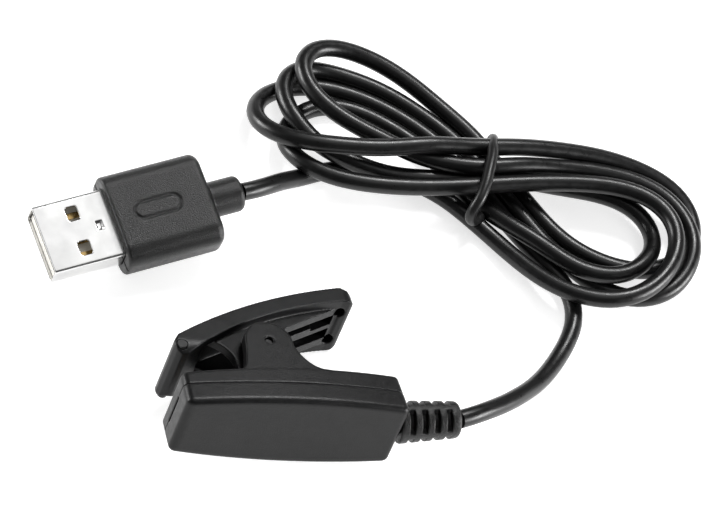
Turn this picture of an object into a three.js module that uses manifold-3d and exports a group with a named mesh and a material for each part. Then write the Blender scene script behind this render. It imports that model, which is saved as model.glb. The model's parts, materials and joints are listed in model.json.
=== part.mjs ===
// USB charging clip cable: a clothes-peg charging clip, a segmented strain relief, a figure-eight hank of
// round cable held by a tie, and a USB-A plug. Millimetres, +Z up, the table is z = 0.
import * as THREE from 'three';
import { mergeVertices } from 'three/addons/utils/BufferGeometryUtils.js';
import Module from 'manifold-3d';

const wasm = await Module();
wasm.setup();

// ---------------------------------------------------------------- driving dimensions
const GAP = 0.3; // clearance between pieces that touch

// The clip's own frame: x along the base to the cable exit, y from the base's bottom face to the lever,
// z along the hinge pin. Its origin is the middle of the base.
const BASE_LENGTH = 37.6; // at the bottom face
const BASE_DRAFT = 0.3; // how much shorter each end is at the deck
const BASE_HEIGHT = 7.6;
const BASE_MID_HALF_WIDTH = 7.2;
const BASE_WIDEST_X = 1.5;
const BASE_NARROWING = 0.0034; // loss of half width per millimetre squared from the widest place
const BASE_CORNER = 1.2;
const BASE_BOTTOM = -3.6;
const BASE_EDGE = 1.0; // round of the bottom edge
const BASE_NOSE = 1.6; // longer round of the bottom edge at the jaw end
const DECK_EDGE = 0.5; // round of the upper edge
const PARTING = 0.4; // height of the seam between cover and housing
const WALL = 1.3;
const DECK_TOP = 4.0; // highest point of the crowned deck
const DECK_TOP_X = 12;
const DECK_DROP = 0.001; // fall of the deck per millimetre squared from its highest point

const PIN_X = -2.6; // hinge pin
const PIN_Y = 9.6;
const PIN_RADIUS = 0.62;
const PIN_HOLE_RADIUS = 0.7;
const EAR_RADIUS = 4.0;
const EAR_INNER = 5.0;
const EAR_OUTER = 7.1;
const EAR_DIMPLE = 0.5; // depth of the pin's ends below the ears' outer faces
const GUSSET_INNER = 2.6;
const GUSSET_OUTER = 4.1;

const LEVER_HALF_WIDTH = 5.9;
const LEVER_SKIN = 1.2;
const LEVER_FRAME = 1.8; // width of the rim around the hollow
const LIP_CORNER = 2.6; // round of the jaw lip's lower corners, seen from the front
const LIP_BOTTOM = 7.7;
const TAIL_RECESS_RADIUS = 0.95;
const TAIL_RECESS_X = 13.4;
const TAIL_RECESS_Z = 3.1;
const JAW_PIN_X = -17.0;
const JAW_PIN_Y = 9.1;
const JAW_PIN_RADIUS = 0.8;

const CONTACT_X = -14.2; // row of sprung contacts across the jaw
const CONTACT_PITCH = 2.3;
const CONTACT_COUNT = 4;
const PLUNGER_RADIUS = 0.45;
const BARREL_RADIUS = 0.8;
const BARREL_BORE = 0.6;
const BLOCK_TOP = 3.7;
const PLUNGER_TIP = 4.9;

const CLIP_PITCH = 4.0; // degrees that the cable end of the clip dips
const CLIP_ROLL = 11.2; // degrees that the lever side of the clip dips

const CABLE_DIAMETER = 3.0;
const CABLE_SIDES = 8;

const RELIEF_START = BASE_LENGTH / 2 + 0.45; // clear of the end wall although it leans
const RELIEF_LENGTH = 10.4;
const RELIEF_RADIUS = 3.5;
const RELIEF_END_RADIUS = 3.05;
const RELIEF_CORE_RADIUS = 2.1;
const RELIEF_GAPS = 4;
const RELIEF_FIRST_GAP = 1.4; // from the relief's start to its first gap
const RELIEF_PITCH = 2.1;
const RELIEF_DROP = 0.4; // how far its start lies below the base's middle line
const RELIEF_LIFT = 7; // degrees that the strain relief bends up from the base's own axis

// The plug's own frame: x from the mouth to the cable, y across, z out of the windowed face.
const SHELL_LENGTH = 18.6;
const SHELL_EXPOSED = 12.1;
const SHELL_WIDTH = 12.0;
const SHELL_HEIGHT = 4.5;
const SHELL_WALL = 0.3;
const SHELL_CORNER = 0.6;
const GRIP_LENGTH = 17.1;
const GRIP_WIDTH = 16.3;
const GRIP_HEIGHT = 8.1;
const GRIP_CORNER = 3.0;
const NECK_RADIUS = 3.0;
const NECK_LENGTH = 5.7;

// The lead's own frame: z up from the table, its origin LEAD_PLACE from the middle of the clip's underside.
const LEAD_PLACE = [0.33, 0.16, 0];
const PLUG_PLACE = [-38.55, 26.89, 3.5]; // mouth of the plug
const PLUG_TURN = [9.4, -7.4, 13.5]; // degrees about x, y and z

// Middle line of the cable outside the hank, from the strain relief and from the plug's neck.
const CLIP_TAIL = [
  [24.25, -9.71, 10.04], [26.2, -9.3, 10.1], [28.1, -8.2, 9.6], [32.6, -5.8, 7.9], [37.4, -2.5, 5.8],
  [43.9, 2.9, 3.3], [48.8, 8.9, 1.9], [51.2, 12.2, 1.6], [52.6, 15.2, 1.55], [53.0, 16.9, 1.55],
];
const PLUG_TAIL = [
  [-4.6, 35.04, 8.03], [-2.6, 35.5, 8.0], [-0.6, 36.5, 7.4], [1.9, 38.1, 6.2], [4.6, 39.8, 4.9],
];
const HANK_BOTTOM = 0.3;
const HANK_TOP = 7.6;
const HANK_EDGE = 1.5;
const HANK_OUTLINE = [ // waist at the tie, right lobe, waist again, left lobe
  [38.2, 33.4], [43.8, 24.5], [50.9, 18.9], [60.3, 17.5], [68.9, 18.9], [75.3, 26.7], [78.6, 33.6],
  [77.6, 39.2], [70.5, 46.2], [56.4, 49.8], [44.4, 49.8], [35.6, 55.8], [29.8, 63.3], [21.8, 69.4],
  [15.7, 70.6], [11.1, 67.9], [4.4, 60.3], [1.9, 54.6], [3.4, 48.9], [7.6, 42.9], [12.9, 39.2],
  [21.4, 37.7], [31.9, 36.5],
];
const HANK_OPENING = [
  [50.0, 37.6], [61.0, 36.2], [64.8, 31.6], [63.6, 28.9], [59.2, 29.6], [53.4, 33.6],
];
const TIE_DIAMETER = 1.8;
const TIE_CENTRE = [40.9, 41.8];
const TIE_DIRECTION = 67.8; // degrees from +x of the line across the waist
const TIE_SIDE = [[10.3, 0.95], [10.3, 4.5], [9.6, 7.4], [7.4, 8.85]]; // reach from the centre, height

// ---------------------------------------------------------------- materials
const plastic = (name, color, roughness) =>
  new THREE.MeshStandardMaterial({ name, color, roughness, metalness: 0 });
const metal = (name, color, roughness) =>
  new THREE.MeshStandardMaterial({ name, color, roughness, metalness: 1 });
const blackHousing = plastic('black_housing', 0x2b2b2c, 0.42);
const blackGrip = plastic('black_grip', 0x343434, 0.62);
const blackCable = plastic('black_cable', 0x1b1b1c, 0.34);
const darkBlock = plastic('dark_insulator', 0x1d1d1f, 0.5);
const whiteTongue = plastic('white_insulator', 0xe6e4dd, 0.45);
const boardGreen = plastic('board_green', 0x1f5b3a, 0.5);
const steel = metal('bright_steel', 0xd9dadc, 0.22);
const darkSteel = metal('dark_steel', 0x5a5b5e, 0.38);
const gold = metal('gold_plate', 0xc99a4a, 0.28);
const wireColours = { red: 0xa62b26, white: 0xdedbd2, green: 0x2f7a45, black: 0x232325 };

// ---------------------------------------------------------------- solids
function toSolid(geometry) {
  const bare = geometry.clone();
  bare.deleteAttribute('normal');
  bare.deleteAttribute('uv');
  const merged = mergeVertices(bare, 1e-4);
  return new wasm.Manifold(new wasm.Mesh({
    numProp: 3,
    vertProperties: new Float32Array(merged.attributes.position.array),
    triVerts: new Uint32Array(merged.index.array),
  }));
}

function toGeometry(solid) {
  const { vertProperties, triVerts } = solid.getMesh();
  const geometry = new THREE.BufferGeometry();
  geometry.setAttribute('position', new THREE.BufferAttribute(vertProperties, 3));
  geometry.setIndex(new THREE.BufferAttribute(triVerts, 1));
  geometry.computeVertexNormals();
  return geometry;
}

function piece(name, shape, material, parent) {
  const geometry = shape.isBufferGeometry ? shape : toGeometry(shape);
  const mesh = new THREE.Mesh(geometry, material);
  mesh.name = name;
  parent.add(mesh);
  return mesh;
}

const box = (x0, x1, y0, y1, z0, z1) =>
  toSolid(new THREE.BoxGeometry(x1 - x0, y1 - y0, z1 - z0)
    .translate((x0 + x1) / 2, (y0 + y1) / 2, (z0 + z1) / 2));

// A round bar of constant radius between two points.
function bar(from, to, radius, segments = 16) {
  const start = new THREE.Vector3(...from);
  const axis = new THREE.Vector3(...to).sub(start);
  const geometry = new THREE.CylinderGeometry(radius, radius, axis.length(), segments);
  geometry.translate(0, axis.length() / 2, 0);
  geometry.applyQuaternion(new THREE.Quaternion().setFromUnitVectors(
    new THREE.Vector3(0, 1, 0), axis.clone().normalize()));
  return toSolid(geometry.translate(...from));
}

// A flat outline in x and y, as thick as z0 to z1.
function plate(outline, z0, z1, curveSegments = 8) {
  const shape = Array.isArray(outline)
    ? new THREE.Shape(outline.map(([x, y]) => new THREE.Vector2(x, y))) : outline;
  return toSolid(new THREE.ExtrudeGeometry(shape, { depth: z1 - z0, bevelEnabled: false, curveSegments })
    .translate(0, 0, z0));
}

// A solid of revolution around the x axis; the profile lists [x, radius] and starts and ends on the axis.
function turned(profile, segments = 24) {
  const points = profile.map(([x, radius]) => new THREE.Vector2(radius, x));
  return toSolid(new THREE.LatheGeometry(points, segments).rotateZ(-Math.PI / 2));
}

// A closed solid through a stack of outlines with equal point counts. Each outline runs along one side and
// back along its mirror image, so point k faces point n - 1 - k and the two ends are ladders between them.
function loft(outlines) {
  const count = outlines[0].length;
  const positions = outlines.flat().flatMap((point) => point.toArray());
  const index = [];
  for (let level = 0; level < outlines.length - 1; level++) {
    for (let k = 0; k < count; k++) {
      const a = level * count + k;
      const b = level * count + (k + 1) % count;
      index.push(a, b, b + count, a, b + count, a + count);
    }
  }
  const top = (outlines.length - 1) * count;
  for (let k = 0; k < count / 2 - 1; k++) {
    const across = count - 1 - k;
    index.push(k, across - 1, k + 1, k, across, across - 1);
    index.push(top + k, top + k + 1, top + across - 1, top + k, top + across - 1, top + across);
  }
  const geometry = new THREE.BufferGeometry();
  geometry.setAttribute('position', new THREE.Float32BufferAttribute(positions, 3));
  geometry.setIndex(index);
  return toSolid(geometry);
}

// A plain tube of the given diameter along a list of points.
function tube(points, diameter, sides, steps, curveType = 'centripetal') {
  const curve = new THREE.CatmullRomCurve3(points.map((p) => new THREE.Vector3(...p)), false, curveType);
  const section = new THREE.Shape();
  section.absarc(0, 0, diameter / 2, 0, 2 * Math.PI);
  return new THREE.ExtrudeGeometry(section, {
    steps, extrudePath: curve, bevelEnabled: false, curveSegments: sides,
  });
}

const deckHeight = (x) => DECK_TOP - DECK_DROP * (x - DECK_TOP_X) ** 2;

// ---------------------------------------------------------------- clip base
const baseHalfWidth = (x) => BASE_MID_HALF_WIDTH - BASE_NARROWING * (x - BASE_WIDEST_X) ** 2;

// The base's outline in x and z, drawn in by an inset, at a height that may depend on x.
function baseOutline(inset, heightAt) {
  const draft = BASE_DRAFT * (heightAt(0) - BASE_BOTTOM) / BASE_HEIGHT;
  const corner = Math.max(BASE_CORNER - inset, 0.3);
  const side = [];
  for (const end of [-1, 1]) {
    const nose = end < 0 ? (BASE_NOSE / BASE_EDGE - 1) * Math.min(inset, BASE_EDGE) : 0;
    const centreX = end * (BASE_LENGTH / 2 - draft - inset - nose - corner);
    const centreZ = baseHalfWidth(centreX) - inset - corner;
    const arc = [0, 30, 60, 90].map((degrees) => THREE.MathUtils.degToRad(degrees));
    if (end > 0) {
      for (const x of [-12, -7.5, -3, 1.5, 6, 10.5, 14]) side.push([x, baseHalfWidth(x) - inset]);
      arc.reverse();
    }
    for (const angle of arc) {
      side.push([centreX + end * corner * Math.cos(angle), centreZ + corner * Math.sin(angle)]);
    }
  }
  const mirrored = side.map(([x, z]) => [x, -z]).reverse();
  return [...side, ...mirrored].map(([x, z]) => new THREE.Vector3(x, heightAt(x), z));
}

function quarterRound(radius, steps) {
  return Array.from({ length: steps + 1 }, (_, k) => {
    const angle = (k / steps) * Math.PI / 2;
    return { rise: radius * (1 - Math.cos(angle)), inset: radius * (1 - Math.sin(angle)) };
  });
}

// The bore in the end wall that the strain relief's neck passes through, along the relief's own axis.
function reliefBore() {
  const slope = Math.tan(THREE.MathUtils.degToRad(RELIEF_LIFT));
  const inner = 6;
  const outer = 4;
  return bar([RELIEF_START - inner, 0, -RELIEF_DROP - inner * slope],
    [RELIEF_START + outer, 0, -RELIEF_DROP + outer * slope], 2.3);
}

function buildCover() {
  const rounded = quarterRound(BASE_EDGE, 3)
    .map(({ rise, inset }) => baseOutline(inset, () => BASE_BOTTOM + rise));
  const shell = loft([...rounded, baseOutline(0, () => PARTING - GAP / 2)]);
  const cavity = loft([baseOutline(WALL, () => BASE_BOTTOM + WALL), baseOutline(WALL, () => PARTING + 1)]);
  return shell.subtract(cavity).subtract(reliefBore());
}

function earOutline() {
  const ear = new THREE.Shape();
  ear.moveTo(-7.9, 2.6);
  ear.lineTo(-7.6, 4.2);
  ear.lineTo(-7.0, 7.2);
  ear.absarc(PIN_X, PIN_Y, EAR_RADIUS, Math.PI, THREE.MathUtils.degToRad(-8), true);
  ear.quadraticCurveTo(2.6, 4.5, 5.4, 3.8);
  ear.lineTo(5.4, 2.6);
  return ear;
}

function buildHousing() {
  const edge = quarterRound(DECK_EDGE, 2).reverse()
    .map(({ rise, inset }) => baseOutline(inset, (x) => deckHeight(x) - rise));
  const shell = loft([baseOutline(0, () => PARTING + GAP / 2), ...edge]);
  const cavity = loft([baseOutline(WALL, () => PARTING - 1), baseOutline(WALL, () => 2.0)]);
  const blockHole = box(CONTACT_X - 2.9, CONTACT_X + 2.9, 0, 6, -5.0, 5.0);
  const springSeat = box(-0.4, 4.2, 2.9, 6, -1.2, 1.2);
  let housing = shell;
  for (const side of [-1, 1]) {
    const near = Math.min(side * EAR_INNER, side * EAR_OUTER);
    const far = Math.max(side * EAR_INNER, side * EAR_OUTER);
    housing = housing.add(plate(earOutline(), near, far, 14));
  }
  const pinHole = bar([PIN_X, PIN_Y, -9], [PIN_X, PIN_Y, 9], PIN_HOLE_RADIUS, 20);
  return housing.subtract(cavity).subtract(blockHole).subtract(reliefBore()).subtract(springSeat).subtract(pinHole);
}

// ---------------------------------------------------------------- lever
const leverBack = new THREE.QuadraticBezierCurve(
  new THREE.Vector2(-17.3, 11.15), new THREE.Vector2(-3.0, 20.4), new THREE.Vector2(13.2, 23.5));
const leverRim = new THREE.QuadraticBezierCurve(
  new THREE.Vector2(-13.5, 9.5), new THREE.Vector2(-1.5, 18.0), new THREE.Vector2(13.3, 20.5));

function leverProfile() {
  const back = leverBack.getPoints(10).reverse();
  const rim = leverRim.getPoints(10);
  const tail = [[14.7, 20.5], [15.5, 21.1], [15.4, 22.0], [14.6, 23.0]];
  const jaw = [[-14.6, 8.7], [-16.0, LIP_BOTTOM + 0.1], [-16.9, LIP_BOTTOM], [-17.8, 8.2], [-18.2, 9.2], [-18.1, 10.0]];
  return [
    ...rim.map((p) => [p.x, p.y]), ...tail, ...back.map((p) => [p.x, p.y]), ...jaw.reverse(),
  ];
}

// The lever's outline in x and z, extruded through its whole height in y.
function leverPlan() {
  const tail = 15.5;
  const corner = 2.4;
  const jaw = -18.3;
  const jawCorner = 0.8;
  const plan = new THREE.Shape();
  plan.moveTo(jaw, -LEVER_HALF_WIDTH + jawCorner);
  plan.lineTo(jaw + jawCorner, -LEVER_HALF_WIDTH);
  plan.lineTo(tail - corner, -LEVER_HALF_WIDTH);
  plan.quadraticCurveTo(tail, -LEVER_HALF_WIDTH, tail, -LEVER_HALF_WIDTH + corner);
  plan.lineTo(tail, LEVER_HALF_WIDTH - corner);
  plan.quadraticCurveTo(tail, LEVER_HALF_WIDTH, tail - corner, LEVER_HALF_WIDTH);
  plan.lineTo(jaw + jawCorner, LEVER_HALF_WIDTH);
  plan.lineTo(jaw, LEVER_HALF_WIDTH - jawCorner);
  return toSolid(new THREE.ExtrudeGeometry(plan, { depth: 30, bevelEnabled: false, curveSegments: 5 })
    .rotateX(Math.PI / 2).translate(0, 30, 0));
}

// The lever seen from the front: two straight sides and round lower corners of the jaw lip.
function leverFront() {
  const side = LEVER_HALF_WIDTH + GAP;
  const straight = LEVER_HALF_WIDTH - LIP_CORNER;
  const front = new THREE.Shape();
  front.moveTo(side, 30);
  front.lineTo(side, LIP_BOTTOM + LIP_CORNER);
  front.lineTo(LEVER_HALF_WIDTH, LIP_BOTTOM + LIP_CORNER);
  front.quadraticCurveTo(LEVER_HALF_WIDTH, LIP_BOTTOM - GAP, straight, LIP_BOTTOM - GAP);
  front.lineTo(-straight, LIP_BOTTOM - GAP);
  front.quadraticCurveTo(-LEVER_HALF_WIDTH, LIP_BOTTOM - GAP, -LEVER_HALF_WIDTH, LIP_BOTTOM + LIP_CORNER);
  front.lineTo(-side, LIP_BOTTOM + LIP_CORNER);
  front.lineTo(-side, 30);
  return toSolid(new THREE.ExtrudeGeometry(front, { depth: 40, bevelEnabled: false, curveSegments: 5 })
    .rotateY(Math.PI / 2).translate(-20, 0, 0));
}

// The hollow behind the rim: below the skin, inside the frame.
function leverPocket() {
  const end = 13.6;
  const roof = leverBack.getPoints(8).filter((p) => p.x > -13 && p.x < end - 0.6)
    .map((p) => [p.x + 0.4, p.y - LEVER_SKIN]);
  const outline = [[-12.8, 5], [end, 5], [end, 22.2], ...roof.reverse(), [-12.8, 12.4]];
  const halfWidth = LEVER_HALF_WIDTH - LEVER_FRAME;
  return plate(outline, -halfWidth, halfWidth);
}

function gussetOutline() {
  const gusset = new THREE.Shape();
  gusset.moveTo(-12.2, 12.4);
  gusset.quadraticCurveTo(-7.8, 10.8, -7.7, 6.6);
  gusset.lineTo(-7.7, deckHeight(-7.7) + GAP);
  gusset.lineTo(-6.2, deckHeight(-6.2) + GAP);
  gusset.lineTo(-4.6, 5.6);
  gusset.absarc(PIN_X, PIN_Y, 3.9, THREE.MathUtils.degToRad(-110), THREE.MathUtils.degToRad(12), false);
  gusset.lineTo(2.4, 15.3);
  gusset.lineTo(13.7, 20.9);
  gusset.lineTo(13.7, 22.7);
  gusset.lineTo(5, 20.8);
  gusset.lineTo(-4, 17.5);
  return gusset;
}

function buildLever() {
  let lever = plate(leverProfile(), -LEVER_HALF_WIDTH - 1, LEVER_HALF_WIDTH + 1);
  lever = lever.intersect(leverPlan()).intersect(leverFront()).subtract(leverPocket());
  for (const side of [-1, 1]) {
    const near = Math.min(side * GUSSET_INNER, side * GUSSET_OUTER);
    const far = Math.max(side * GUSSET_INNER, side * GUSSET_OUTER);
    lever = lever.add(plate(gussetOutline(), near, far));
  }
  const middleRib = plate([[4.2, 16.2], [13.0, 20.6], [13.0, 22.8], [4.2, 20.6]], -0.45, 0.45);
  const crossRib = plate([[12.6, 20.4], [13.7, 20.9], [13.7, 22.8], [12.6, 22.7]], -4.1, 4.1);
  lever = lever.add(middleRib).add(crossRib);
  for (const z of [-TAIL_RECESS_Z, TAIL_RECESS_Z]) {
    lever = lever.subtract(bar([TAIL_RECESS_X, 18, z], [TAIL_RECESS_X, 22.1, z], TAIL_RECESS_RADIUS, 16));
  }
  const pinHole = bar([PIN_X, PIN_Y, -9], [PIN_X, PIN_Y, 9], PIN_HOLE_RADIUS, 20);
  const jawHole = bar([JAW_PIN_X, JAW_PIN_Y, -9], [JAW_PIN_X, JAW_PIN_Y, 9], JAW_PIN_RADIUS + GAP / 2, 16);
  return lever.subtract(pinHole).subtract(jawHole);
}

// ---------------------------------------------------------------- spring, pins and contacts
function springPoints() {
  const turns = 4.25;
  const perTurn = 12;
  const radius = 1.75;
  const pitch = 0.85;
  const coil = Array.from({ length: Math.round(turns * perTurn) + 1 }, (_, k) => {
    const angle = Math.PI / 2 - (k / perTurn) * 2 * Math.PI;
    return [
      PIN_X + radius * Math.cos(angle), PIN_Y + radius * Math.sin(angle),
      pitch * (k / perTurn - turns / 2),
    ];
  });
  const upperLeg = [[8.6, 20.6, -1.75], [3.0, 16.6, -1.8]];
  const lowerLeg = [[PIN_X + 4.2, 4.4, 1.0], [3.4, 3.7, 0.6]];
  return { coil, upperLeg, lowerLeg };
}

function buildSpring() {
  const { coil, upperLeg, lowerLeg } = springPoints();
  return tube([...upperLeg, ...coil, ...lowerLeg], 0.55, 6, 90, 'catmullrom');
}

function plungerProfile() {
  return [[1.9, 0], [1.9, PLUNGER_RADIUS], [PLUNGER_TIP - 0.3, PLUNGER_RADIUS],
    [PLUNGER_TIP - 0.08, 0.28], [PLUNGER_TIP, 0]];
}

function barrelProfile() {
  return [[0.3, 0], [0.3, BARREL_RADIUS], [BLOCK_TOP - 0.25, BARREL_RADIUS],
    [BLOCK_TOP - 0.25, BARREL_BORE], [0.75, BARREL_BORE], [0.75, 0]];
}

// Turns a solid of revolution from the x axis to the clip's y axis.
const upright = (geometry, x, z) => geometry.rotateZ(Math.PI / 2).translate(x, 0, z);

function addContacts(parent) {
  const halfRow = (CONTACT_COUNT - 1) / 2;
  let block = box(CONTACT_X - 2.6, CONTACT_X + 2.6, 0.9, BLOCK_TOP, -4.7, 4.7);
  for (let k = 0; k < CONTACT_COUNT; k++) {
    const z = (k - halfRow) * CONTACT_PITCH;
    block = block.subtract(bar([CONTACT_X, 0, z], [CONTACT_X, 6, z], BARREL_RADIUS + 0.08, 14));
    const barrel = toGeometry(turned(barrelProfile(), 12));
    const plunger = toGeometry(turned(plungerProfile(), 12));
    piece(`contact_barrel_${k + 1}`, upright(barrel, CONTACT_X, z), gold, parent);
    piece(`contact_plunger_${k + 1}`, upright(plunger, CONTACT_X, z), gold, parent);
  }
  piece('contact_block', block, darkBlock, parent);
  piece('contact_board', box(-16.6, -8.8, -0.8, 0, -4.3, 4.3), boardGreen, parent);
}

function addInnerWires(parent) {
  const crimpStart = 11.4;
  const colours = Object.entries(wireColours);
  piece('cable_crimp', bar([crimpStart, 0, 0], [crimpStart + 2, 0, 0], 2.0, 16)
    .subtract(bar([crimpStart - 1, 0, 0], [crimpStart + 4, 0, 0], CABLE_DIAMETER / 2 + 0.2, 16)),
  darkSteel, parent);
  piece('cable_sheath_end', bar([10.9, 0, 0], [14, 0, 0], CABLE_DIAMETER / 2, 12), blackCable, parent);
  colours.forEach(([colour, value], k) => {
    const spread = (k - (colours.length - 1) / 2);
    const path = [
      [-8.5, -0.4, spread * 2.0], [-6.5, -0.5, spread * 2.1], [0, -0.6 + 0.2 * (k % 2), spread * 1.7],
      [6, -0.3, spread * 1.2], [9.3, 0, spread * 0.95], [10.6, 0, spread * 0.92],
    ];
    piece(`wire_${colour}`, tube(path, 0.75, 6, 12), plastic(`wire_${colour}`, value, 0.4), parent);
  });
}

// ---------------------------------------------------------------- strain relief
// Turned around the x axis from its own start, with rows of windows between the rings.
function buildRelief() {
  const profile = [
    [-4.2, 0], [-4.2, 1.9], [0, 1.9], [0, RELIEF_RADIUS - 0.15], [0.3, RELIEF_RADIUS],
    [RELIEF_LENGTH - 0.9, RELIEF_END_RADIUS], [RELIEF_LENGTH - 0.25, RELIEF_END_RADIUS - 0.25],
    [RELIEF_LENGTH, RELIEF_END_RADIUS - 0.9], [RELIEF_LENGTH, 0],
  ];
  let relief = turned(profile, 24).add(box(-3.9, -2.7, -1.7, 1.7, -3.4, 3.4));
  const ribHalf = 0.45;
  for (let ring = 0; ring < RELIEF_GAPS; ring++) {
    const x = RELIEF_FIRST_GAP + ring * RELIEF_PITCH;
    const slot = bar([x, 0, 0], [x + 0.95, 0, 0], 5, 24)
      .subtract(bar([x - 1, 0, 0], [x + 2, 0, 0], RELIEF_CORE_RADIUS, 24))
      .subtract(box(x - 1, x + 2, -ribHalf, ribHalf, -6, 6))
      .subtract(box(x - 1, x + 2, -6, 6, -ribHalf, ribHalf));
    relief = relief.subtract(slot);
  }
  return relief;
}

// ---------------------------------------------------------------- plug
// A closed outline in y and z with rounded corners, at a place along x.
function roundedOutline(x, width, height, corner) {
  const half = [];
  for (const [centreZ, from] of [[height / 2 - corner, 90], [-(height / 2 - corner), 0]]) {
    for (const step of [0, 30, 60, 90]) {
      const angle = THREE.MathUtils.degToRad(from - step);
      half.push([width / 2 - corner + corner * Math.cos(angle), centreZ + corner * Math.sin(angle)]);
    }
  }
  const mirrored = half.map(([y, z]) => [-y, z]).reverse();
  return [...half, ...mirrored].reverse().map(([y, z]) => new THREE.Vector3(x, y, z));
}

function buildShell() {
  const outer = loft([
    roundedOutline(0, SHELL_WIDTH, SHELL_HEIGHT, SHELL_CORNER),
    roundedOutline(SHELL_LENGTH, SHELL_WIDTH, SHELL_HEIGHT, SHELL_CORNER),
  ]);
  const inner = loft([
    roundedOutline(-1, SHELL_WIDTH - 2 * SHELL_WALL, SHELL_HEIGHT - 2 * SHELL_WALL, SHELL_WALL),
    roundedOutline(SHELL_LENGTH + 1, SHELL_WIDTH - 2 * SHELL_WALL, SHELL_HEIGHT - 2 * SHELL_WALL, SHELL_WALL),
  ]);
  let shell = outer.subtract(inner);
  for (const y of [-3.1, 3.1]) {
    shell = shell.subtract(box(5.1, 7.1, y - 1.25, y + 1.25, -6, 6));
  }
  return shell.subtract(box(9.2, 10.3, -0.8, 0.8, 0, 6));
}

function buildGrip() {
  const start = SHELL_EXPOSED;
  const end = start + GRIP_LENGTH;
  const ring = (x, inset) => roundedOutline(x, GRIP_WIDTH - 2 * inset, GRIP_HEIGHT - 2 * inset, GRIP_CORNER - inset);
  const body = loft([ring(start, 0.5), ring(start + 0.5, 0), ring(end - 1.3, 0), ring(end - 0.4, 0.4), ring(end, 1.2)]);
  const neck = turned([[end - 2, 0], [end - 2, NECK_RADIUS], [end + NECK_LENGTH - 0.9, NECK_RADIUS],
    [end + NECK_LENGTH - 0.25, NECK_RADIUS - 0.3], [end + NECK_LENGTH, NECK_RADIUS - 0.95],
    [end + NECK_LENGTH, 0]], 20);
  const pocket = loft([
    roundedOutline(start - 1, SHELL_WIDTH + 2 * GAP, SHELL_HEIGHT + 2 * GAP, SHELL_CORNER + GAP),
    roundedOutline(SHELL_LENGTH + GAP, SHELL_WIDTH + 2 * GAP, SHELL_HEIGHT + 2 * GAP, SHELL_CORNER + GAP),
  ]);
  return body.add(neck).subtract(pocket);
}

function addPlug(parent) {
  piece('plug_grip', buildGrip(), blackGrip, parent);
  piece('usb_shell', buildShell(), steel, parent);
  const inside = { halfWidth: SHELL_WIDTH / 2 - SHELL_WALL - 0.25, floor: -SHELL_HEIGHT / 2 + SHELL_WALL + 0.2 };
  const tongueTop = -0.1;
  const body = box(9.4, SHELL_LENGTH - 0.4, -inside.halfWidth, inside.halfWidth, inside.floor, -inside.floor);
  const tongue = box(0.5, 10, -inside.halfWidth, inside.halfWidth, inside.floor, tongueTop);
  piece('usb_tongue', body.add(tongue), whiteTongue, parent);
  [-3.5, -1.0, 1.0, 3.5].forEach((y, k) => {
    const front = Math.abs(y) > 2 ? 1.6 : 2.6;
    const strip = box(front, 9.1, y - 0.5, y + 0.5, tongueTop + 0.05, tongueTop + 0.25);
    piece(`usb_contact_${k + 1}`, strip, gold, parent);
  });
}

// ---------------------------------------------------------------- hank and tie
function buildHank() {
  const smooth = (points) => new THREE.CatmullRomCurve3(
    points.map(([x, y]) => new THREE.Vector3(x, y, 0)), true, 'centripetal')
    .getPoints(points.length * 2).slice(0, -1).map((p) => new THREE.Vector2(p.x, p.y));
  const shape = new THREE.Shape(smooth(HANK_OUTLINE));
  shape.holes.push(new THREE.Path(smooth(HANK_OPENING)));
  return new THREE.ExtrudeGeometry(shape, {
    depth: HANK_TOP - HANK_BOTTOM - 2 * HANK_EDGE, bevelEnabled: true, bevelSegments: 2,
    bevelThickness: HANK_EDGE, bevelSize: HANK_EDGE, bevelOffset: -HANK_EDGE,
  }).translate(0, 0, HANK_BOTTOM + HANK_EDGE);
}

// A tie bent over the waist, open underneath where the cable lies on the table.
function buildTie() {
  const angle = THREE.MathUtils.degToRad(TIE_DIRECTION);
  const place = (side) => ([reach, height]) => [
    TIE_CENTRE[0] + side * reach * Math.cos(angle), TIE_CENTRE[1] + side * reach * Math.sin(angle), height,
  ];
  const path = [...TIE_SIDE.map(place(-1)), ...TIE_SIDE.map(place(1)).reverse()];
  return tube(path, TIE_DIAMETER, 6, 24);
}

// ---------------------------------------------------------------- assembly
const cableClip = new THREE.Group();

const clip = new THREE.Group();
piece('base_cover', buildCover(), blackHousing, clip);
piece('base_housing', buildHousing(), blackHousing, clip);
piece('lever', buildLever(), blackHousing, clip);
const pinReach = EAR_OUTER - EAR_DIMPLE;
piece('hinge_pin', bar([PIN_X, PIN_Y, -pinReach], [PIN_X, PIN_Y, pinReach], PIN_RADIUS, 16), darkSteel, clip);
piece('hinge_spring', buildSpring(), darkSteel, clip);
piece('jaw_pin', bar([JAW_PIN_X, JAW_PIN_Y, -LEVER_HALF_WIDTH], [JAW_PIN_X, JAW_PIN_Y, LEVER_HALF_WIDTH],
  JAW_PIN_RADIUS, 16), darkSteel, clip);
addContacts(clip);
addInnerWires(clip);

const relief = new THREE.Group();
piece('strain_relief', buildRelief(), blackGrip, relief);
relief.position.set(RELIEF_START, 0, -RELIEF_DROP);
relief.rotation.y = -THREE.MathUtils.degToRad(RELIEF_LIFT);
clip.add(relief);

clip.rotation.set(
  -THREE.MathUtils.degToRad(CLIP_ROLL), THREE.MathUtils.degToRad(CLIP_PITCH), 0, 'YXZ');
const clipBounds = new THREE.Box3().setFromObject(clip, true);
const clipCentre = clipBounds.getCenter(new THREE.Vector3());
clip.position.set(-clipCentre.x, -clipCentre.y, -clipBounds.min.z);
cableClip.add(clip);

const lead = new THREE.Group();
lead.position.set(...LEAD_PLACE);
cableClip.add(lead);

const plug = new THREE.Group();
addPlug(plug);
plug.position.set(...PLUG_PLACE);
plug.rotation.set(...PLUG_TURN.map((degrees) => THREE.MathUtils.degToRad(degrees)), 'ZYX');
lead.add(plug);

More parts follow.
